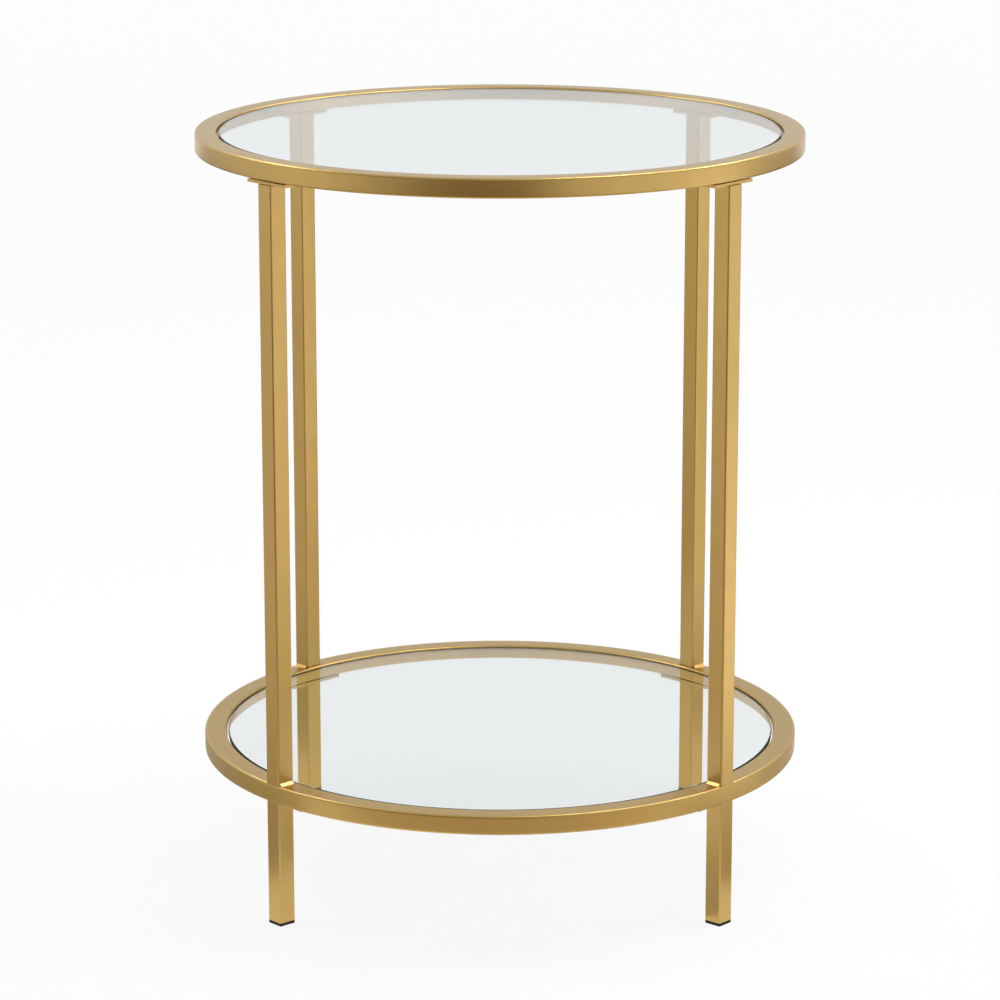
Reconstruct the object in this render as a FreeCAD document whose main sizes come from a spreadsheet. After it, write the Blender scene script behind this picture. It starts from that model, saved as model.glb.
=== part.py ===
"""Round side table with two tiers: gold tube rings, inset glass discs and four square legs.

Millimetres, +Z up. The origin is on the floor, on the axis of the two rings, and the front looks along -Y.
"""
import FreeCAD
import Part
import math
import os

import Sketcher

doc = FreeCAD.newDocument("SideTable")

# Driving dimensions, in millimetres and degrees
sizes = doc.addObject("Spreadsheet::Sheet", "Sizes")
DIMENSIONS = {
    # Overall
    "ring_diameter": 508,
    "table_height": 640,
    "shelf_height": 122,
    "front_leg_angle": 42.5,
    "back_leg_angle": 45,
    # Tube of the rings and legs
    "ring_width": 18,
    "ring_height": 16,
    "ring_edge": 0.9,
    "leg_width": 16,
    "leg_corner": 1.6,
    "tube_wall": 1.2,
    "weld_gap": 0.1,
    "weld_bead": 2,
    # Glass discs
    "glass_thickness": 5,
    "glass_gap": 2,
    "glass_recess": 1,
    "glass_arris": 0.6,
    # Flat bars between the legs and the rings
    "plate_thickness": 2.5,
    "top_plate_width": 14,
    "top_plate_length": 46,
    "top_plate_gap": 0.7,
    "screw_spread": 32,
    "screw_hole_diameter": 4.5,
    "shelf_plate_width": 12,
    "shelf_plate_length": 56,
    "shelf_plate_lap": 1,
    # Clear rests that carry the glass
    "front_rest_angle": 60,
    "back_rest_angle": 32,
    "rest_width": 8,
    "rest_height": 4,
    "rest_reach": 5.5,
    "rest_stand_off": 0.3,
    "rest_tab_width": 5,
    "rest_tab_height": 2.5,
    "rest_tab_length": 5,
    "rest_tab_clearance": 0.25,
    # Plugs in the leg ends
    "foot_height": 2.5,
    "foot_plug_length": 14,
    "foot_plug_wall": 1.6,
    "foot_fin_height": 1,
    "foot_fin_pitch": 4.5,
    "foot_fin_count": 2,
    "foot_fin_clearance": 0.3,
    "foot_plug_clearance": 1,
    # How far every cut runs past the face it opens
    "cut_overrun": 2,
}
for row, (alias, value) in enumerate(DIMENSIONS.items(), start=1):
    sizes.set(f"A{row}", alias)
    sizes.set(f"B{row}", str(value))
    sizes.setAlias(f"B{row}", alias)
doc.recompute()

OUTER = "Sizes.ring_diameter / 2"
INNER = f"({OUTER} - Sizes.ring_width)"
RING_MIDDLE = f"({OUTER} - Sizes.ring_width / 2)"
LEG_MIDDLE = f"({OUTER} - Sizes.leg_width / 2)"
TOP_RING_BOTTOM = "(Sizes.table_height - Sizes.ring_height)"
SHELF_RING_BOTTOM = "(Sizes.shelf_height - Sizes.ring_height)"
TOP_PLATE_BOTTOM = f"({TOP_RING_BOTTOM} - Sizes.top_plate_gap - Sizes.plate_thickness)"
GLASS_DROP = "(Sizes.glass_recess + Sizes.glass_thickness)"
SHELF_PLATE_MIDDLE = f"({INNER} - Sizes.shelf_plate_lap + Sizes.shelf_plate_width / 2)"

# The direction of each leg from the table's axis, in degrees counted from +X
LEG_ANGLES = {
    "front_right": "(-Sizes.front_leg_angle)",
    "back_right": "(Sizes.back_leg_angle)",
    "back_left": "(180 - Sizes.back_leg_angle)",
    "front_left": "(180 + Sizes.front_leg_angle)",
}
RIGHT_LEGS = ("front_right", "back_right")

# The direction of each glass rest, counted in the same way
REST_ANGLES = {
    "front_right": "(-Sizes.front_rest_angle)",
    "back_right": "(Sizes.back_rest_angle)",
    "back_left": "(180 - Sizes.back_rest_angle)",
    "front_left": "(180 + Sizes.front_rest_angle)",
}
RIGHT_RESTS = ("front_right", "back_right")

parts = []


def value(expression):
    """The number that an expression on the driving dimensions gives."""
    return float(sizes.evalExpression(expression))


def new_body(label):
    """An empty body whose label names its file."""
    body = doc.addObject("PartDesign::Body", label)
    body.Label = label
    return body


def origin_feature(body, role):
    """One of the body's own origin planes or axes."""
    return next(o for o in body.Origin.OriginFeatures if o.Role == role)


def bind(item, **expressions):
    """Tie properties to expressions; a double underscore in a name stands for a dot."""
    for name, expression in expressions.items():
        item.setExpression(name.replace("__", "."), expression)


def place(body, radius, angle, height):
    """Stand a body out from the table's axis, with its own X axis pointing outwards."""
    body.Placement.Rotation.Axis = FreeCAD.Vector(0, 0, 1)
    bind(
        body,
        Placement__Base__x=f"{radius} * cos({angle})",
        Placement__Base__y=f"{radius} * sin({angle})",
        Placement__Base__z=height,
        Placement__Rotation__Angle=angle,
    )


def new_sketch(body, name, role="XY_Plane", **offsets):
    """A sketch on one of the body's origin planes, with its origin moved by the offsets x, y and z."""
    sketch = body.newObject("Sketcher::SketchObject", name)
    sketch.AttachmentSupport = [(origin_feature(body, role), "")]
    sketch.MapMode = "FlatFace"
    for axis, expression in offsets.items():
        sketch.setExpression(f"AttachmentOffset.Base.{axis}", expression)
    return sketch


def rectangle(sketch, width, height):
    """A rectangle centred on the sketch's origin, drawn as a unit shape that its constraints then size."""
    corners = [FreeCAD.Vector(x, y, 0) for x, y in ((-1, -1), (1, -1), (1, 1), (-1, 1))]
    first = sketch.GeometryCount
    for start, end in zip(corners, corners[1:] + corners[:1]):
        sketch.addGeometry(Part.LineSegment(start, end), False)
    bottom, right, top, left = range(first, first + len(corners))
    for side, following in ((bottom, right), (right, top), (top, left), (left, bottom)):
        sketch.addConstraint(Sketcher.Constraint("Coincident", side, 2, following, 1))
    for side in (bottom, top):
        sketch.addConstraint(Sketcher.Constraint("Horizontal", side))
    for side in (right, left):
        sketch.addConstraint(Sketcher.Constraint("Vertical", side))
    sketch.addConstraint(Sketcher.Constraint("Symmetric", bottom, 1, top, 1, -1, 1))
    across = sketch.addConstraint(Sketcher.Constraint("DistanceX", bottom, 1, bottom, 2, 2))
    sketch.setExpression(f"Constraints[{across}]", width)
    along = sketch.addConstraint(Sketcher.Constraint("DistanceY", right, 1, right, 2, 2))
    sketch.setExpression(f"Constraints[{along}]", height)


def rounded_rectangle(sketch, width, height, radius):
    """A rectangle with round corners, centred on the sketch's origin and drawn as a unit shape."""
    corners = ((-1, -1, 180), (1, -1, 270), (1, 1, 0), (-1, 1, 90))
    reach = 2
    sides = []
    arcs = []
    for x, y, start in corners:
        turn = Part.Circle(FreeCAD.Vector(x, y, 0), FreeCAD.Vector(0, 0, 1), 1)
        first, last = math.radians(start), math.radians(start + 90)
        arcs.append(sketch.addGeometry(Part.ArcOfCircle(turn, first, last), False))
    ends = (
        ((-1, -reach), (1, -reach)),
        ((reach, -1), (reach, 1)),
        ((1, reach), (-1, reach)),
        ((-reach, 1), (-reach, -1)),
    )
    for start, end in ends:
        line = Part.LineSegment(FreeCAD.Vector(*start, 0), FreeCAD.Vector(*end, 0))
        sides.append(sketch.addGeometry(line, False))
    for number, side in enumerate(sides):
        following = arcs[(number + 1) % len(arcs)]
        sketch.addConstraint(Sketcher.Constraint("Tangent", arcs[number], 2, side, 1))
        sketch.addConstraint(Sketcher.Constraint("Tangent", side, 2, following, 1))
    bottom, right, top, left = sides
    for side in (bottom, top):
        sketch.addConstraint(Sketcher.Constraint("Horizontal", side))
    for side in (right, left):
        sketch.addConstraint(Sketcher.Constraint("Vertical", side))
    for arc in arcs[1:]:
        sketch.addConstraint(Sketcher.Constraint("Equal", arcs[0], arc))
    sketch.addConstraint(Sketcher.Constraint("Symmetric", arcs[0], 3, arcs[2], 3, -1, 1))
    for constraint, expression in (
        (Sketcher.Constraint("Radius", arcs[0], 1), radius),
        (Sketcher.Constraint("DistanceX", left, 1, right, 2, 2 * reach), width),
        (Sketcher.Constraint("DistanceY", bottom, 2, top, 1, 2 * reach), height),
    ):
        number = sketch.addConstraint(constraint)
        sketch.setExpression(f"Constraints[{number}]", expression)


def circle(sketch, diameter):
    """A circle centred on the sketch's origin, drawn as a unit circle that its constraint then sizes."""
    unit = Part.Circle(FreeCAD.Vector(0, 0, 0), FreeCAD.Vector(0, 0, 1), 1)
    number = sketch.addGeometry(unit, False)
    sketch.addConstraint(Sketcher.Constraint("Coincident", number, 3, -1, 1))
    across = sketch.addConstraint(Sketcher.Constraint("Diameter", number, 2))
    sketch.setExpression(f"Constraints[{across}]", diameter)


def pad(body, sketch, length):
    """Raise a sketch along its normal."""
    feature = body.newObject("PartDesign::Pad", f"{sketch.Name}_pad")
    feature.Profile = sketch
    bind(feature, Length=length)
    doc.recompute()
    return feature


def pocket(body, sketch, length, with_normal):
    """Cut a sketch out of the body, with the sketch's normal or against it."""
    feature = body.newObject("PartDesign::Pocket", f"{sketch.Name}_pocket")
    feature.Profile = sketch
    feature.Reversed = with_normal
    bind(feature, Length=length)
    doc.recompute()
    return feature


def upright_edges(shape):
    """Names of the straight edges that run along Z."""
    names = []
    for number, edge in enumerate(shape.Edges, start=1):
        if isinstance(edge.Curve, Part.Line) and abs(edge.Curve.Direction.z) > math.cos(math.radians(1)):
            names.append(f"Edge{number}")
    return names


def round_edges(shape):
    """Names of the edges that are whole circles."""
    return [
        f"Edge{number}"
        for number, edge in enumerate(shape.Edges, start=1)
        if isinstance(edge.Curve, Part.Circle) and edge.isClosed()
    ]


def fillet(body, base, names, radius):
    """Round the named edges of a feature."""
    feature = body.newObject("PartDesign::Fillet", f"{base.Name}_fillet")
    feature.Base = (base, names)
    bind(feature, Radius=radius)
    doc.recompute()
    return feature


def chamfer(body, base, names, size):
    """Cut the named edges of a feature back at 45 degrees."""
    feature = body.newObject("PartDesign::Chamfer", f"{base.Name}_chamfer")
    feature.Base = (base, names)
    bind(feature, Size=size)
    doc.recompute()
    return feature


def revolved(body, kind, sketch):
    """Turn a sketch about the body's Z axis, as added or removed material."""
    feature = body.newObject(f"PartDesign::{kind}", f"{sketch.Name}_turn")
    feature.Profile = sketch
    feature.ReferenceAxis = (origin_feature(body, "Z_Axis"), [""])
    feature.Angle = 360
    doc.recompute()
    return feature


def cut_notch(body, leg):
    """Open a ring's outside for a leg, close round the leg's inner corners; the inner wall stays whole."""
    angle = LEG_ANGLES[leg]
    corner = "(Sizes.leg_corner + Sizes.weld_gap)"
    past_ring = f"({corner} + Sizes.cut_overrun)"
    middle = f"({LEG_MIDDLE} + ({past_ring} - Sizes.weld_gap) / 2)"
    sketch = new_sketch(
        body, f"{body.Name}_{leg}_notch",
        x=f"{middle} * cos({angle})", y=f"{middle} * sin({angle})", z="-Sizes.cut_overrun",
    )
    sketch.setExpression("AttachmentOffset.Rotation.Angle", angle)
    depth = f"Sizes.weld_gap + Sizes.leg_width + {past_ring}"
    rounded_rectangle(sketch, depth, "Sizes.leg_width + 2 * Sizes.weld_gap", corner)
    return pocket(body, sketch, "Sizes.ring_height + 2 * Sizes.cut_overrun", True)


def drill_for_screws(body, leg):
    """Drill the bottom wall of a ring for the two screws at one leg."""
    angle = LEG_ANGLES[leg]
    holes = []
    for side, offset in (("fore", "(-Sizes.screw_spread / 2)"), ("aft", "(Sizes.screw_spread / 2)")):
        hole = body.newObject("PartDesign::SubtractiveCylinder", f"{body.Name}_{leg}_{side}_hole")
        bind(
            hole,
            Radius="Sizes.screw_hole_diameter / 2",
            Height="Sizes.tube_wall + 2 * Sizes.cut_overrun",
            Placement__Base__x=f"{RING_MIDDLE} * cos({angle}) - {offset} * sin({angle})",
            Placement__Base__y=f"{RING_MIDDLE} * sin({angle}) + {offset} * cos({angle})",
            Placement__Base__z="-Sizes.cut_overrun",
        )
        holes.append(hole)
    return holes


def cut_slot(body, corner):
    """Open the inner wall of a ring for the tab of one glass rest."""
    sketch = new_sketch(
        body, f"{body.Name}_{corner}_slot", "YZ_Plane",
        y=f"Sizes.ring_height - {GLASS_DROP} - Sizes.rest_height / 2",
    )
    sketch.AttachmentOffset.Rotation.Axis = FreeCAD.Vector(0, 1, 0)
    sketch.setExpression("AttachmentOffset.Rotation.Angle", REST_ANGLES[corner])
    room = "2 * Sizes.rest_tab_clearance"
    rectangle(sketch, f"Sizes.rest_tab_width + {room}", f"Sizes.rest_tab_height + {room}")
    return pocket(body, sketch, f"{INNER} + Sizes.tube_wall + Sizes.cut_overrun", True)


def make_ring(label, bottom, right_leg_cuts):
    """A rolled tube ring: hollow, with its edges taken off, and cut at the legs and for the glass rests."""
    body = new_body(label)
    outline = new_sketch(body, f"{label}_outline", "XZ_Plane", x=RING_MIDDLE, y="Sizes.ring_height / 2")
    rectangle(outline, "Sizes.ring_width", "Sizes.ring_height")
    solid = revolved(body, "Revolution", outline)
    chamfer(body, solid, round_edges(solid.Shape), "Sizes.ring_edge")
    hollow = new_sketch(body, f"{label}_hollow", "XZ_Plane", x=RING_MIDDLE, y="Sizes.ring_height / 2")
    rectangle(hollow, "Sizes.ring_width - 2 * Sizes.tube_wall", "Sizes.ring_height - 2 * Sizes.tube_wall")
    revolved(body, "Groove", hollow)

    # The right half is cut first, then mirrored to the left
    cuts = [cut for leg in RIGHT_LEGS for cut in right_leg_cuts(body, leg)]
    cuts += [cut_slot(body, corner) for corner in RIGHT_RESTS]
    doc.recompute()
    mirror = body.newObject("PartDesign::Mirrored", f"{label}_left_half")
    mirror.Originals = cuts
    mirror.MirrorPlane = (origin_feature(body, "YZ_Plane"), [""])
    body.Tip = mirror
    bind(body, Placement__Base__z=bottom)
    doc.recompute()
    parts.append(body)


def make_leg(leg):
    """One square tube, from its foot to the plate under the top ring."""
    body = new_body(f"leg_{leg}")
    section = new_sketch(body, f"leg_{leg}_section")
    rectangle(section, "Sizes.leg_width", "Sizes.leg_width")
    tube = pad(body, section, f"{TOP_PLATE_BOTTOM} - Sizes.foot_height")
    fillet(body, tube, upright_edges(tube.Shape), "Sizes.leg_corner")
    bore = new_sketch(body, f"leg_{leg}_bore", z="-Sizes.cut_overrun")
    rectangle(bore, "Sizes.leg_width - 2 * Sizes.tube_wall", "Sizes.leg_width - 2 * Sizes.tube_wall")
    pocket(body, bore, "Sizes.table_height + 2 * Sizes.cut_overrun", True)
    place(body, LEG_MIDDLE, LEG_ANGLES[leg], "Sizes.foot_height")
    parts.append(body)


def make_top_plate(leg):
    """The flat bar welded across a leg's top end; the flanges of its inserts hold the ring just off it."""
    body = new_body(f"top_plate_{leg}")
    outline = new_sketch(body, f"top_plate_{leg}_outline")
    rectangle(outline, "Sizes.top_plate_width", "Sizes.top_plate_length")
    pad(body, outline, "Sizes.plate_thickness")
    for side, offset in (("fore", "-Sizes.screw_spread / 2"), ("aft", "Sizes.screw_spread / 2")):
        hole = new_sketch(body, f"top_plate_{leg}_{side}_hole", y=offset, z="-Sizes.cut_overrun")
        circle(hole, "Sizes.screw_hole_diameter")
        pocket(body, hole, "Sizes.plate_thickness + 2 * Sizes.cut_overrun", True)
    place(body, RING_MIDDLE, LEG_ANGLES[leg], TOP_PLATE_BOTTOM)
    parts.append(body)


def make_shelf_plate(leg):
    """The flat bar welded round a leg's inner side, which stiffens the lower ring from below."""
    body = new_body(f"shelf_plate_{leg}")
    outline = new_sketch(body, f"shelf_plate_{leg}_outline")
    rectangle(outline, "Sizes.shelf_plate_width", "Sizes.shelf_plate_length")
    pad(body, outline, "Sizes.plate_thickness")
    notch = new_sketch(
        body, f"shelf_plate_{leg}_notch",
        x=f"{LEG_MIDDLE} - {SHELF_PLATE_MIDDLE}", z="-Sizes.cut_overrun",
    )
    side = "Sizes.leg_width + 2 * Sizes.weld_gap"
    rectangle(notch, side, side)
    pocket(body, notch, "Sizes.plate_thickness + 2 * Sizes.cut_overrun", True)
    place(body, SHELF_PLATE_MIDDLE, LEG_ANGLES[leg], f"{SHELF_RING_BOTTOM} - Sizes.plate_thickness")
    parts.append(body)


def make_foot(leg):
    """A moulded plug: a square cap under the tube, and a hollow finned stem inside it."""
    body = new_body(f"foot_{leg}")
    bore = "(Sizes.leg_width - 2 * Sizes.tube_wall)"
    stem_width = f"({bore} - 2 * Sizes.foot_plug_clearance)"
    sole = new_sketch(body, f"foot_{leg}_sole")
    rectangle(sole, "Sizes.leg_width", "Sizes.leg_width")
    cap = pad(body, sole, "Sizes.foot_height")
    fillet(body, cap, upright_edges(cap.Shape), "Sizes.leg_corner")
    stem = new_sketch(body, f"foot_{leg}_stem")
    rectangle(stem, stem_width, stem_width)
    pad(body, stem, "Sizes.foot_height + Sizes.foot_plug_length")
    fin = new_sketch(body, f"foot_{leg}_fin", z="Sizes.foot_height + Sizes.foot_fin_pitch")
    fin_width = f"({bore} - 2 * Sizes.foot_fin_clearance)"
    rectangle(fin, fin_width, fin_width)
    first_fin = pad(body, fin, "Sizes.foot_fin_height")
    fins = body.newObject("PartDesign::LinearPattern", f"foot_{leg}_fins")
    fins.Originals = [first_fin]
    fins.Direction = (origin_feature(body, "Z_Axis"), [""])
    bind(
        fins,
        Length="Sizes.foot_fin_pitch * (Sizes.foot_fin_count - 1)",
        Occurrences="Sizes.foot_fin_count",
    )
    body.Tip = fins
    doc.recompute()
    hollow = new_sketch(body, f"foot_{leg}_hollow", z="Sizes.foot_height")
    hollow_width = f"{stem_width} - 2 * Sizes.foot_plug_wall"
    rectangle(hollow, hollow_width, hollow_width)
    pocket(body, hollow, "Sizes.foot_plug_length + Sizes.cut_overrun", True)
    place(body, LEG_MIDDLE, LEG_ANGLES[leg], "0")
    parts.append(body)


def make_glass(label, ring_top):
    """A tempered disc with a ground arris on both edges."""
    body = new_body(label)
    outline = new_sketch(body, f"{label}_outline")
    circle(outline, f"2 * ({INNER} - Sizes.glass_gap)")
    disc = pad(body, outline, "Sizes.glass_thickness")
    chamfer(body, disc, round_edges(disc.Shape), "Sizes.glass_arris")
    bind(body, Placement__Base__z=f"{ring_top} - {GLASS_DROP}")
    doc.recompute()
    parts.append(body)


def make_rest():
    """A clear rest for the glass: a tongue with a flat tab that plugs into the ring's inner wall."""
    body = new_body("rest_pattern")
    back = f"({INNER} - Sizes.rest_stand_off)"
    tongue = new_sketch(body, "rest_tongue", x=f"{back} - Sizes.rest_reach / 2", z="-Sizes.rest_height")
    rectangle(tongue, "Sizes.rest_reach", "Sizes.rest_width")
    pad(body, tongue, "Sizes.rest_height")
    tab = new_sketch(body, "rest_tab", "YZ_Plane", y="-Sizes.rest_height / 2", z=back)
    rectangle(tab, "Sizes.rest_tab_width", "Sizes.rest_tab_height")
    pad(body, tab, "Sizes.rest_tab_length")
    return body


def make_weld():
    """A fillet weld beside a leg: its foot lies on the ring's top and its back against the leg."""
    body = new_body("weld_pattern")
    length = "(Sizes.leg_width - 2 * Sizes.leg_corner)"
    end = new_sketch(body, "weld_end", "YZ_Plane", z=f"-{length} / 2")
    root, toe, top = (FreeCAD.Vector(*point, 0) for point in ((0, 0), (1, 0), (0, 1)))
    foot, face, back = (
        end.addGeometry(Part.LineSegment(*ends), False) for ends in ((root, toe), (toe, top), (top, root))
    )
    for side, following in ((foot, face), (face, back), (back, foot)):
        end.addConstraint(Sketcher.Constraint("Coincident", side, 2, following, 1))
    end.addConstraint(Sketcher.Constraint("Coincident", foot, 1, -1, 1))
    end.addConstraint(Sketcher.Constraint("Vertical", back))
    end.addConstraint(Sketcher.Constraint("Horizontal", foot))
    end.addConstraint(Sketcher.Constraint("Equal", back, foot))
    width = end.addConstraint(Sketcher.Constraint("DistanceX", foot, 1, foot, 2, 1))
    end.setExpression(f"Constraints[{width}]", "Sizes.weld_bead")
    pad(body, end, length)
    return body


def spread_copies(label, pattern, placements):
    """One node that holds a copy of a small piece at each of its places."""
    copies = []
    for placement in placements:
        copy = pattern.Shape.copy()
        copy.Placement = placement
        copies.append(copy)
    group = doc.addObject("Part::Feature", label)
    group.Label = label
    group.Shape = Part.makeCompound(copies)
    parts.append(group)


def places_beside_legs(radius, spread, height):
    """A place on each side of every leg, as placements whose Y axes point away from the leg."""
    up = FreeCAD.Vector(0, 0, 1)
    places = []
    for angle in LEG_ANGLES.values():
        turn = FreeCAD.Rotation(up, value(angle))
        for side, half_turn in ((1, 0), (-1, 180)):
            beside = side * value(spread) / 2
            point = turn.multVec(FreeCAD.Vector(value(radius), beside, value(height)))
            places.append(FreeCAD.Placement(point, turn * FreeCAD.Rotation(up, half_turn)))
    return places


def rest_places(height):
    """The places of one ring's glass rests, as placements."""
    up = FreeCAD.Vector(0, 0, 1)
    lift = FreeCAD.Vector(0, 0, value(height))
    return [FreeCAD.Placement(lift, FreeCAD.Rotation(up, value(angle))) for angle in REST_ANGLES.values()]


make_ring("top_ring", TOP_RING_BOTTOM, drill_for_screws)
make_ring("lower_ring", SHELF_RING_BOTTOM, lambda body, leg: [cut_notch(body, leg)])
for leg_name in LEG_ANGLES:
    make_leg(leg_name)
    make_top_plate(leg_name)
    make_shelf_plate(leg_name)
    make_foot(leg_name)
make_glass("top_glass", "Sizes.table_height")
make_glass("shelf_glass", "Sizes.shelf_height")

rest = make_rest()
weld = make_weld()
doc.recompute()
spread_copies("top_glass_rests", rest, rest_places(f"Sizes.table_height - {GLASS_DROP}"))
spread_copies("shelf_glass_rests", rest, rest_places(f"Sizes.shelf_height - {GLASS_DROP}"))
spread_copies("shelf_welds", weld, places_beside_legs(LEG_MIDDLE, "Sizes.leg_width", "Sizes.shelf_height"))
doc.recompute()

failed = [o.Label for o in doc.Objects if "Invalid" in o.State or "Error" in o.State]
failed += [p.Label for p in parts if p.Shape.isNull() or not p.Shape.isValid()]
if failed:
    raise RuntimeError(f"These did not build: {failed}")

os.makedirs("parts", exist_ok=True)
for part in parts:
    part.Shape.exportStep(f"parts/{part.Label}.step")
    print(part.Label, len(part.Shape.Solids), round(part.Shape.Volume, 1))
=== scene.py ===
import math

import bpy
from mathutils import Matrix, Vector


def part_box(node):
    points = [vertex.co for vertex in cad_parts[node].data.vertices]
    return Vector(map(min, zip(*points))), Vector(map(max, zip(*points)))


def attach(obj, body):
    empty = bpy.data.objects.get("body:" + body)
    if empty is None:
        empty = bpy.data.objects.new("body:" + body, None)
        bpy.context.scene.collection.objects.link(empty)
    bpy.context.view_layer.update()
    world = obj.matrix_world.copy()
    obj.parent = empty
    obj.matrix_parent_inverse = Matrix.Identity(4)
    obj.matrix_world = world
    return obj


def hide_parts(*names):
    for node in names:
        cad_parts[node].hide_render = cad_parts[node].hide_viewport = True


# Two-tier glass side table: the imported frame, dressed in satin gold and clear glass, in metres with +Z up

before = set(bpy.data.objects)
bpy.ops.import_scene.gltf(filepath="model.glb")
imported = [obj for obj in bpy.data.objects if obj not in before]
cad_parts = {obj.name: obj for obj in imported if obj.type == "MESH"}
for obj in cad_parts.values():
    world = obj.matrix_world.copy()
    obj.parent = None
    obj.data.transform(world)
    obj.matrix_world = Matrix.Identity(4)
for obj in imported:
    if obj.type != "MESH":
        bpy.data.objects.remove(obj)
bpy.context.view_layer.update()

MM = 0.001

# Sizes that the frame gives
RING_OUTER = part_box("top_ring")[1].x
RING_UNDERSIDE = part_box("top_ring")[0].z
GLASS_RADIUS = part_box("top_glass")[1].x
PLATE_UNDERSIDE, PLATE_TOP = (corner.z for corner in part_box("top_plate_front_left"))

# Sizes of the pieces made here
RING_WIDTH = 18 * MM
RING_CORNER = 2.0 * MM
RING_CORNER_STEPS = 6
ROUND_STEPS = 256
SMALL_ROUND_STEPS = 32
WELD_FLUSH = 0.3 * MM
GLASS_ARRIS = 0.6 * MM
REST_ANGLES = (32, 148, 240, 300)
REST_WIDTH = 8 * MM
REST_REACH = 5.5 * MM
REST_STAND_OFF = 0.3 * MM
REST_EDGE = 0.7 * MM
REST_SLACK = 0.1 * MM
TAB_WIDTH = 5 * MM
TAB_HEIGHT = 2.5 * MM
TAB_LENGTH = 5 * MM
LEG_ANGLES = (-42.5, 45, 135, 222.5)
SCREW_SPREAD = 32 * MM
SCREW_HEAD_RADIUS = 3.75 * MM
SCREW_HEAD_HEIGHT = 0.9 * MM
SCREW_SOCKET_RADIUS = 1.5 * MM
SCREW_SOCKET_DEPTH = 0.6 * MM
SCREW_EDGE = 0.5 * MM
INSERT_FLANGE_RADIUS = 4.5 * MM
SAME_PLACE = 0.01 * MM

RING_INNER = RING_OUTER - RING_WIDTH
RING_MIDDLE = RING_OUTER - RING_WIDTH / 2


# Modelling

def nothing_selected():
    """Clear the selection, so that the next operator acts on the new piece alone."""
    if bpy.context.mode != "OBJECT":
        bpy.ops.object.mode_set(mode="OBJECT")
    bpy.ops.object.select_all(action="DESELECT")


def selected_alone(pieces):
    """Select these pieces and no others, with the first of them active."""
    nothing_selected()
    for piece in pieces:
        piece.select_set(True)
    bpy.context.view_layer.objects.active = pieces[0]


def place_applied(name):
    """Name the new primitive and put its place, turn and scale into its mesh."""
    piece = bpy.context.active_object
    piece.name = name
    bpy.ops.object.transform_apply(location=True, rotation=True, scale=True)
    return piece


def pick(piece, kind, wanted):
    """Select the piece's edges or faces that pass a test, and stay in edit mode."""
    bpy.ops.object.mode_set(mode="EDIT")
    bpy.ops.mesh.select_mode(type=kind)
    bpy.ops.mesh.select_all(action="DESELECT")
    bpy.ops.object.mode_set(mode="OBJECT")
    for item in piece.data.edges if kind == "EDGE" else piece.data.polygons:
        item.select = wanted(item)
    bpy.ops.object.mode_set(mode="EDIT")


def is_level(piece):
    """A test for edges whose two ends are at one height."""
    corners = piece.data.vertices

    def level(edge):
        first, second = (corners[end].co.z for end in edge.vertices)
        return abs(first - second) < SAME_PLACE

    return level


def soften(piece):
    """Smooth shading that keeps the large faces flat and lets the narrow bevels turn."""
    bpy.ops.object.shade_smooth()
    piece.modifiers.new("flat_faces", "WEIGHTED_NORMAL").keep_sharp = True
    bpy.ops.object.modifier_apply(modifier="flat_faces")


def turned_copies(first, name, angles):
    """Copies of a small piece round the table's axis, each with its own mesh, joined into one."""
    copies = []
    for angle in angles:
        copy = first.copy()
        copy.data = first.data.copy()
        bpy.context.collection.objects.link(copy)
        copy.rotation_euler.z = math.radians(angle)
        copies.append(copy)
    bpy.data.objects.remove(first)
    selected_alone(copies)
    bpy.ops.object.transform_apply(location=True, rotation=True, scale=True)
    bpy.ops.object.join()
    copies[0].name = name
    return copies[0]


def rolled_ring(name, node, proud):
    """A tube ring: a rounded section spun once round the table's axis."""
    low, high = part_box(node)
    width, height = RING_WIDTH + proud, high.z - low.z
    nothing_selected()
    middle = (RING_INNER + width / 2, 0, (low.z + high.z) / 2)
    bpy.ops.mesh.primitive_plane_add(size=1, location=middle, rotation=(math.pi / 2, 0, 0))
    bpy.context.active_object.scale = (width, height, 1)
    ring = place_applied(name)
    bpy.ops.object.mode_set(mode="EDIT")
    bpy.ops.mesh.select_all(action="SELECT")
    bpy.ops.mesh.bevel(offset=RING_CORNER, segments=RING_CORNER_STEPS, affect="VERTICES")
    bpy.ops.mesh.delete(type="ONLY_FACE")
    bpy.ops.mesh.select_all(action="SELECT")
    bpy.ops.mesh.spin(steps=ROUND_STEPS, angle=2 * math.pi, center=(0, 0, 0), axis=(0, 0, 1))
    bpy.ops.mesh.select_all(action="SELECT")
    bpy.ops.mesh.remove_doubles(threshold=SAME_PLACE)
    bpy.ops.mesh.normals_make_consistent(inside=False)
    bpy.ops.object.mode_set(mode="OBJECT")
    soften(ring)
    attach(ring, "frame")
    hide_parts(node)
    return ring


def glass_disc(name, node):
    """A float glass disc with a ground arris round both edges."""
    low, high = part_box(node)
    nothing_selected()
    bpy.ops.mesh.primitive_cylinder_add(
        vertices=ROUND_STEPS, radius=GLASS_RADIUS, depth=high.z - low.z, location=(0, 0, (low.z + high.z) / 2)
    )
    disc = place_applied(name)
    pick(disc, "EDGE", is_level(disc))
    bpy.ops.mesh.bevel(offset=GLASS_ARRIS, segments=2, affect="EDGES")
    bpy.ops.object.mode_set(mode="OBJECT")
    bpy.ops.object.shade_smooth_by_angle(angle=math.radians(20))
    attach(disc, node)
    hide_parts(node)
    return disc


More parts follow.
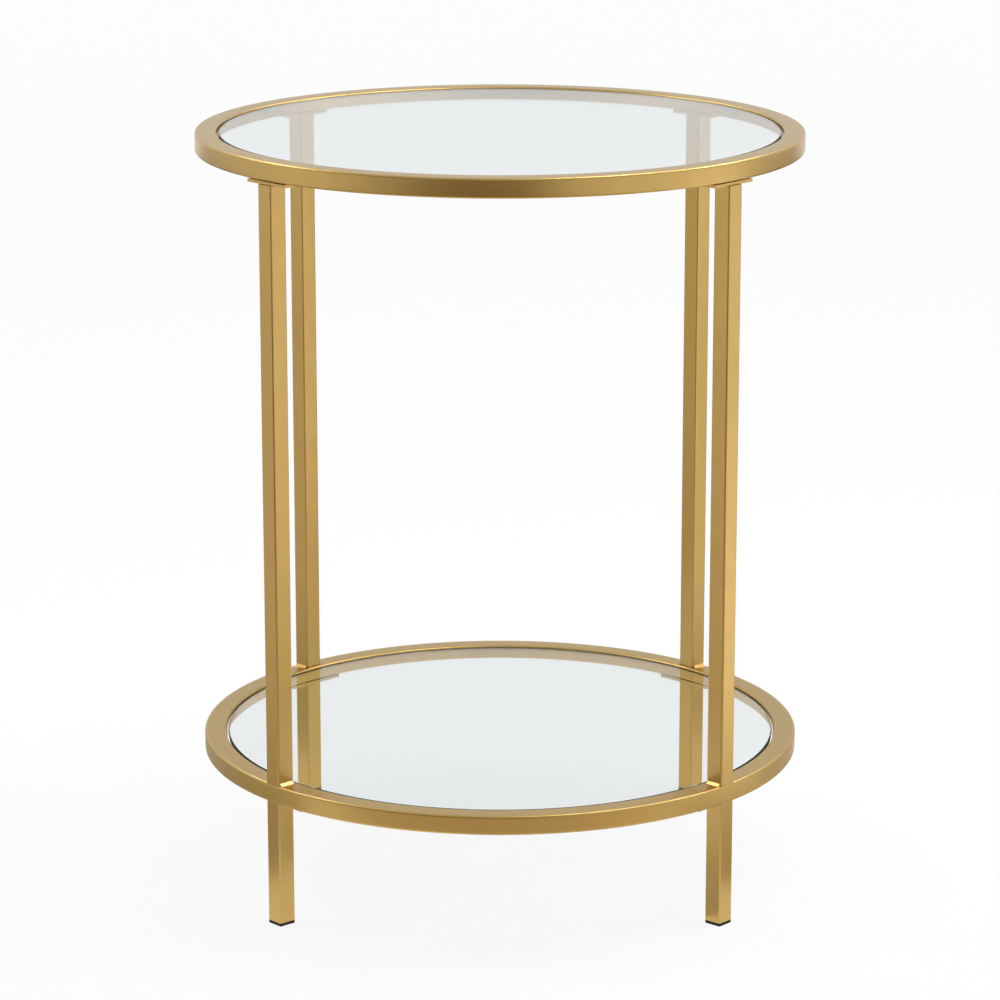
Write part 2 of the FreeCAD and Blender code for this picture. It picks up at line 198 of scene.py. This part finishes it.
def glass_rests(name, node):
    """Four clear rests, each a rounded tongue just clear of the glass with a tab in the ring's inner wall."""
    low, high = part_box(node)
    middle = (low.z + high.z) / 2
    back = RING_INNER - REST_STAND_OFF
    nothing_selected()
    bpy.ops.mesh.primitive_cube_add(size=1, location=(back - REST_REACH / 2, 0, middle))
    bpy.context.active_object.scale = (REST_REACH, REST_WIDTH, high.z - low.z - REST_SLACK)
    tongue = place_applied("rest_tongue")
    bpy.ops.object.mode_set(mode="EDIT")
    bpy.ops.mesh.select_all(action="SELECT")
    bpy.ops.mesh.bevel(offset=REST_EDGE, segments=3, affect="EDGES")
    bpy.ops.object.mode_set(mode="OBJECT")
    soften(tongue)
    nothing_selected()
    bpy.ops.mesh.primitive_cube_add(size=1, location=(back + (TAB_LENGTH - REST_EDGE) / 2, 0, middle))
    bpy.context.active_object.scale = (TAB_LENGTH + REST_EDGE, TAB_WIDTH, TAB_HEIGHT)
    tab = place_applied("rest_tab")
    selected_alone([tongue, tab])
    bpy.ops.object.join()
    rests = turned_copies(tongue, name, REST_ANGLES)
    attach(rests, "frame")
    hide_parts(node)
    return rests


def screw_head(across):
    """A low socket head against the underside of a top plate."""
    nothing_selected()
    bpy.ops.mesh.primitive_cylinder_add(
        vertices=SMALL_ROUND_STEPS, radius=SCREW_HEAD_RADIUS, depth=SCREW_HEAD_HEIGHT,
        location=(RING_MIDDLE, across, PLATE_UNDERSIDE - SCREW_HEAD_HEIGHT / 2),
    )
    head = place_applied("screw_head")
    pick(head, "FACE", lambda face: face.normal.z < -0.9)
    bpy.ops.mesh.inset(thickness=SCREW_HEAD_RADIUS - SCREW_SOCKET_RADIUS)
    bpy.ops.mesh.extrude_region_move(TRANSFORM_OT_translate={"value": (0, 0, SCREW_SOCKET_DEPTH)})
    bpy.ops.object.mode_set(mode="OBJECT")
    corners = head.data.vertices

    def on_outer_edge(corner):
        from_axis = math.hypot(corner.x - RING_MIDDLE, corner.y - across)
        at_bottom = abs(corner.z - PLATE_UNDERSIDE + SCREW_HEAD_HEIGHT) < SAME_PLACE
        return at_bottom and from_axis > SCREW_HEAD_RADIUS - SCREW_EDGE

    pick(head, "EDGE", lambda edge: all(on_outer_edge(corners[end].co) for end in edge.vertices))
    bpy.ops.mesh.bevel(offset=SCREW_EDGE, segments=3, affect="EDGES")
    bpy.ops.object.mode_set(mode="OBJECT")
    bpy.ops.object.shade_smooth_by_angle(angle=math.radians(40))
    return head


def insert_flange(across):
    """The thin round flange of a screw insert, which holds the top ring off its plate."""
    nothing_selected()
    bpy.ops.mesh.primitive_cylinder_add(
        vertices=SMALL_ROUND_STEPS, radius=INSERT_FLANGE_RADIUS, depth=RING_UNDERSIDE - PLATE_TOP,
        location=(RING_MIDDLE, across, (RING_UNDERSIDE + PLATE_TOP) / 2),
    )
    flange = place_applied("insert_flange")
    bpy.ops.object.shade_smooth_by_angle(angle=math.radians(40))
    return flange


def pairs_at_legs(name, make_one):
    """A small gold piece at each of the two screw places of every leg, joined into one."""
    pair = [make_one(side * SCREW_SPREAD / 2) for side in (-1, 1)]
    selected_alone(pair)
    bpy.ops.object.join()
    pairs = turned_copies(pair[0], name, LEG_ANGLES)
    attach(pairs, "frame")
    return pairs


# Materials

def new_finish(name):
    """A new material, its node tree, its main shader and the object coordinates for its patterns."""
    finish = bpy.data.materials.new(name)
    finish.use_nodes = True
    tree = finish.node_tree
    shader = next(node for node in tree.nodes if node.type == "BSDF_PRINCIPLED")
    place = tree.nodes.new("ShaderNodeTexCoord")
    return finish, tree, shader, place.outputs["Object"]


def noise(tree, place, scale, detail=4.0):
    """A cloudy pattern with this many cells to the metre."""
    node = tree.nodes.new("ShaderNodeTexNoise")
    node.inputs["Scale"].default_value = scale
    node.inputs["Detail"].default_value = detail
    tree.links.new(place, node.inputs["Vector"])
    return node.outputs["Fac"]


def spread(tree, pattern, low, high):
    """The pattern stretched to run from one value to another."""
    node = tree.nodes.new("ShaderNodeMapRange")
    node.inputs["From Min"].default_value = 0.3
    node.inputs["From Max"].default_value = 0.7
    node.inputs["To Min"].default_value = low
    node.inputs["To Max"].default_value = high
    tree.links.new(pattern, node.inputs["Value"])
    return node.outputs["Result"]


def two_tones(tree, pattern, first, second):
    """A colour that drifts between two tones with the pattern."""
    node = tree.nodes.new("ShaderNodeValToRGB")
    node.color_ramp.elements[0].position = 0.3
    node.color_ramp.elements[0].color = (*first, 1)
    node.color_ramp.elements[1].position = 0.7
    node.color_ramp.elements[1].color = (*second, 1)
    tree.links.new(pattern, node.inputs["Fac"])
    return node.outputs["Color"]


def bumps(tree, shader, pattern, strength, distance):
    """Fine relief on the surface."""
    node = tree.nodes.new("ShaderNodeBump")
    node.inputs["Strength"].default_value = strength
    node.inputs["Distance"].default_value = distance
    tree.links.new(pattern, node.inputs["Height"])
    tree.links.new(node.outputs["Normal"], shader.inputs["Normal"])


def satin_gold():
    """Satin gold plating under a thin clear lacquer."""
    finish, tree, shader, place = new_finish("satin_gold")
    tone = two_tones(tree, noise(tree, place, 6), (0.60, 0.385, 0.112), (0.63, 0.405, 0.120))
    tree.links.new(tone, shader.inputs["Base Color"])
    tree.links.new(spread(tree, noise(tree, place, 60), 0.30, 0.36), shader.inputs["Roughness"])
    bumps(tree, shader, noise(tree, place, 2500, 2), 0.06, 0.05 * MM)
    shader.inputs["Metallic"].default_value = 1.0
    shader.inputs["Specular Tint"].default_value = (0.98, 0.94, 0.86, 1)
    shader.inputs["Coat Weight"].default_value = 0.5
    shader.inputs["Coat Roughness"].default_value = 0.2
    return finish


def float_glass():
    """Clear float glass: faint ripple, and a faint green cast from its tint."""
    finish, tree, shader, place = new_finish("float_glass")
    shader.inputs["Base Color"].default_value = (0.955, 0.985, 0.99, 1)
    shader.inputs["Transmission Weight"].default_value = 1.0
    shader.inputs["IOR"].default_value = 1.52
    tree.links.new(spread(tree, noise(tree, place, 25), 0.0, 0.02), shader.inputs["Roughness"])
    bumps(tree, shader, noise(tree, place, 12, 1), 0.02, 0.02 * MM)
    return finish


def ground_glass():
    """The glass's ground rim, painted dark green: painted shade standing in for the light lost along the
    sheet and for the shaded gap between ring and glass.
    """
    finish, tree, shader, place = new_finish("ground_glass")
    tone = two_tones(tree, noise(tree, place, 40), (0.042, 0.050, 0.036), (0.058, 0.068, 0.050))
    tree.links.new(tone, shader.inputs["Base Color"])
    shader.inputs["Specular IOR Level"].default_value = 0.3
    tree.links.new(spread(tree, noise(tree, place, 800), 0.45, 0.6), shader.inputs["Roughness"])
    return finish


def clear_moulding():
    """Clear soft plastic, a little milky, with a slightly matt skin."""
    finish, tree, shader, place = new_finish("clear_moulding")
    shader.inputs["Base Color"].default_value = (0.95, 0.96, 0.96, 1)
    shader.inputs["Transmission Weight"].default_value = 0.85
    shader.inputs["IOR"].default_value = 1.46
    tree.links.new(spread(tree, noise(tree, place, 300), 0.06, 0.14), shader.inputs["Roughness"])
    return finish


def black_moulding():
    """Black foot plastic with a fine moulded grain."""
    finish, tree, shader, place = new_finish("black_moulding")
    tone = two_tones(tree, noise(tree, place, 200), (0.006, 0.004, 0.002), (0.010, 0.007, 0.004))
    tree.links.new(tone, shader.inputs["Base Color"])
    tree.links.new(spread(tree, noise(tree, place, 400), 0.45, 0.6), shader.inputs["Roughness"])
    shader.inputs["Specular IOR Level"].default_value = 0.25
    bumps(tree, shader, noise(tree, place, 3000, 2), 0.15, 0.05 * MM)
    return finish


def dress(piece, finish):
    """Give a piece or CAD node one finish all over."""
    piece.data.materials.clear()
    piece.data.materials.append(finish)


def dress_glass(disc, face_finish, rim_finish):
    """Clear faces and a ground rim."""
    dress(disc, face_finish)
    disc.data.materials.append(rim_finish)
    for face in disc.data.polygons:
        face.material_index = 0 if abs(face.normal.z) > 0.9 else 1


gold = satin_gold()
glass = float_glass()
rim = ground_glass()
clear = clear_moulding()
black = black_moulding()

dress(rolled_ring("top_ring_tube", "top_ring", 0), gold)
dress(rolled_ring("lower_ring_tube", "lower_ring", WELD_FLUSH), gold)
dress_glass(glass_disc("top_glass_disc", "top_glass"), glass, rim)
dress_glass(glass_disc("shelf_glass_disc", "shelf_glass"), glass, rim)
dress(glass_rests("top_rests_clear", "top_glass_rests"), clear)
dress(glass_rests("shelf_rests_clear", "shelf_glass_rests"), clear)
dress(pairs_at_legs("plate_screws", screw_head), gold)
dress(pairs_at_legs("ring_insert_flanges", insert_flange), gold)
for name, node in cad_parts.items():
    if name.startswith(("leg_", "top_plate_", "shelf_plate_", "shelf_welds")):
        dress(node, gold)
    elif name.startswith("foot_"):
        dress(node, black)


# Stage, light and camera

def stage_sheet(name, size, location, colour, glow=0.0):
    """A plain flat sheet of the studio, which isn't part of the table."""
    nothing_selected()
    bpy.ops.mesh.primitive_plane_add(size=1, location=location)
    sheet = bpy.context.active_object
    sheet.name = name
    sheet.scale = (*size, 1)
    finish = bpy.data.materials.new(f"{name}_finish")
    finish.use_nodes = True
    shader = next(node for node in finish.node_tree.nodes if node.type == "BSDF_PRINCIPLED")
    shader.inputs["Base Color"].default_value = (*colour, 1)
    shader.inputs["Emission Color"].default_value = (1, 1, 1, 1)
    shader.inputs["Emission Strength"].default_value = glow
    shader.inputs["Roughness"].default_value = 1.0
    shader.inputs["Specular IOR Level"].default_value = 0.0
    sheet.data.materials.append(finish)
    return sheet


def whiten(sheet, share):
    """Let a sheet show as near white, also in reflections, and keep part of the shadow that falls on it."""
    tree = sheet.data.materials[0].node_tree
    output = next(node for node in tree.nodes if node.type == "OUTPUT_MATERIAL")
    lit = next(node for node in tree.nodes if node.type == "BSDF_PRINCIPLED")
    path = tree.nodes.new("ShaderNodeLightPath")
    total = path.outputs["Is Camera Ray"]
    for kind in ("Is Glossy Ray", "Is Transmission Ray"):
        either = tree.nodes.new("ShaderNodeMath")
        either.operation = "MAXIMUM"
        tree.links.new(total, either.inputs[0])
        tree.links.new(path.outputs[kind], either.inputs[1])
        total = either.outputs["Value"]
    part = tree.nodes.new("ShaderNodeMath")
    part.operation = "MULTIPLY"
    part.inputs[1].default_value = share
    tree.links.new(total, part.inputs[0])
    glow = tree.nodes.new("ShaderNodeEmission")
    mix = tree.nodes.new("ShaderNodeMixShader")
    tree.links.new(part.outputs["Value"], mix.inputs["Fac"])
    tree.links.new(lit.outputs["BSDF"], mix.inputs[1])
    tree.links.new(glow.outputs["Emission"], mix.inputs[2])
    tree.links.new(mix.outputs["Shader"], output.inputs["Surface"])


def soft_light(name, power, size, location, aim):
    """A square studio light pointed at a place."""
    data = bpy.data.lights.new(name, "AREA")
    data.energy = power
    data.size = size
    light = bpy.data.objects.new(name, data)
    light.location = location
    bpy.context.collection.objects.link(light)
    away = light.location - aim
    light.rotation_euler = away.to_track_quat("Z", "Y").to_euler()
    return light


# How bright the studio is at each height, from level to straight up, and its slightly cool colour
WALL_LEVELS = ((0.0, 0.60), (0.16, 0.67), (0.30, 0.50), (0.5, 0.58), (1.0, 0.5))
COOL_TINT = (1.0, 1.03, 1.04)

# Where the studio is dimmest, over what stretch of directions it dims, and from what level to what
DIM_DIRECTION = (-0.34, -0.94, 0)
DIM_STRETCH = (0.4, 0.95)
DIM_LEVELS = (1.16, 0.4)


def smooth_step(tree, measure, across, levels):
    """A soft change from one light level to another across a stretch of directions."""
    node = tree.nodes.new("ShaderNodeMapRange")
    node.interpolation_type = "SMOOTHSTEP"
    node.inputs["From Min"].default_value, node.inputs["From Max"].default_value = across
    node.inputs["To Min"].default_value, node.inputs["To Max"].default_value = levels
    tree.links.new(measure, node.inputs["Value"])
    return node.outputs["Result"]


def studio_world():
    """Soft light from all round: pale walls, a dimmer front and a ceiling no brighter than the walls."""
    world = bpy.data.worlds.new("studio")
    bpy.context.scene.world = world
    world.use_nodes = True
    tree = world.node_tree
    sky = next(node for node in tree.nodes if node.type == "BACKGROUND")
    direction = tree.nodes.new("ShaderNodeTexCoord").outputs["Generated"]
    axes = tree.nodes.new("ShaderNodeSeparateXYZ")
    tree.links.new(direction, axes.inputs["Vector"])
    height = tree.nodes.new("ShaderNodeValToRGB")
    tree.links.new(axes.outputs["Z"], height.inputs["Fac"])
    stops = height.color_ramp.elements
    stops[1].position = 1.0
    for place, level in WALL_LEVELS:
        stop = next((known for known in stops if known.position == place), None) or stops.new(place)
        stop.color = (*(level * tint for tint in COOL_TINT), 1)
    tree.links.new(height.outputs["Color"], sky.inputs["Color"])
    dim = tree.nodes.new("ShaderNodeVectorMath")
    dim.operation = "DOT_PRODUCT"
    dim.inputs[1].default_value = DIM_DIRECTION
    tree.links.new(direction, dim.inputs[0])
    level = smooth_step(tree, dim.outputs["Value"], DIM_STRETCH, DIM_LEVELS)
    tree.links.new(level, sky.inputs["Strength"])


FLOOR_GLOW_SHARE = 0.85
SHEET_LIFT = 2 * MM
floor = stage_sheet("studio_floor", (60, 60), (0, 0, 0), (0.97, 0.97, 0.97))
whiten(floor, FLOOR_GLOW_SHARE)

# Sheets that only reflections see, which paint the metal's reflections: darker sheets are painted dark
# reflections, and glowing sheets on the right are painted highlights
for name, size, place, tone, glow in (
    ("front_carpet", (3.2, 5.2), (-0.6, -3.8), (0.19, 0.10, 0.035), 0),
    ("near_carpet", (3.2, 0.82), (-0.4, -0.79), (0.65, 0.57, 0.485), 0),
    ("under_carpet", (0.20, 0.20), (0.06, -0.20), (0.95, 0.92, 0.88), 0),
    ("corner_carpet", (0.24, 0.30), (0.40, -0.15), (0.52, 0.48, 0.41), 0),
    ("left_end_carpet", (0.45, 0.85), (-0.525, 0.175), (0.53, 0.49, 0.43), 0),
    ("left_near_carpet", (2.65, 0.85), (-2.075, 0.175), (0.72, 0.675, 0.605), 0),
    ("left_far_carpet", (3.1, 2.65), (-1.85, 1.925), (0.44, 0.40, 0.345), 0),
    ("right_end_carpet", (0.40, 0.58), (0.55, 0.31), (0.58, 0.53, 0.46), 0),
    ("right_near_carpet", (1.60, 0.40), (1.55, 0.40), (0.56, 0.52, 0.465), 0),
    ("right_far_carpet", (3.1, 2.65), (1.90, 1.925), (0.36, 0.33, 0.285), 0),
    ("right_reflection_highlight", (1.60, 0.60), (1.55, -0.10), (0.90, 0.88, 0.84), 0.5),
    ("right_far_reflection_highlight", (2.40, 1.45), (3.55, -0.275), (0.92, 0.92, 0.92), 0.7),
):
    sheet = stage_sheet(name, size, (*place, SHEET_LIFT), tone, glow)
    sheet.visible_camera = False
    sheet.visible_diffuse = False
    sheet.visible_transmission = False
    sheet.visible_shadow = False

studio_world()
table_middle = Vector((0, 0, 0.4))
soft_light("top_softbox", 9, 0.6, (0.65, 0.0, 2.2), table_middle)
soft_light("top_left_softbox", 8, 0.6, (-1.7, 0.4, 2.1), table_middle)
soft_light("top_right_softbox", 11, 0.6, (1.7, 0.4, 2.1), table_middle)
soft_light("rear_left_softbox", 90, 2.0, (-3.5, 6.0, 6.0), Vector((-3.5, 6.0, 0)))
soft_light("rear_right_softbox", 90, 2.0, (3.5, 6.0, 6.0), Vector((3.5, 6.0, 0)))

CAMERA_AWAY = 3.300
CAMERA_HEIGHT = 1.154
CAMERA_DIP = 14.18
CAMERA_LENS = 143.7

lens = bpy.data.cameras.new("photo_camera")
lens.lens = CAMERA_LENS
lens.sensor_width = 36
camera = bpy.data.objects.new("photo_camera", lens)
camera.location = (0, -CAMERA_AWAY, CAMERA_HEIGHT)
camera.rotation_euler = (math.radians(90 - CAMERA_DIP), 0, 0)
bpy.context.collection.objects.link(camera)
bpy.context.scene.camera = camera
bpy.context.scene.view_settings.view_transform = "Standard"
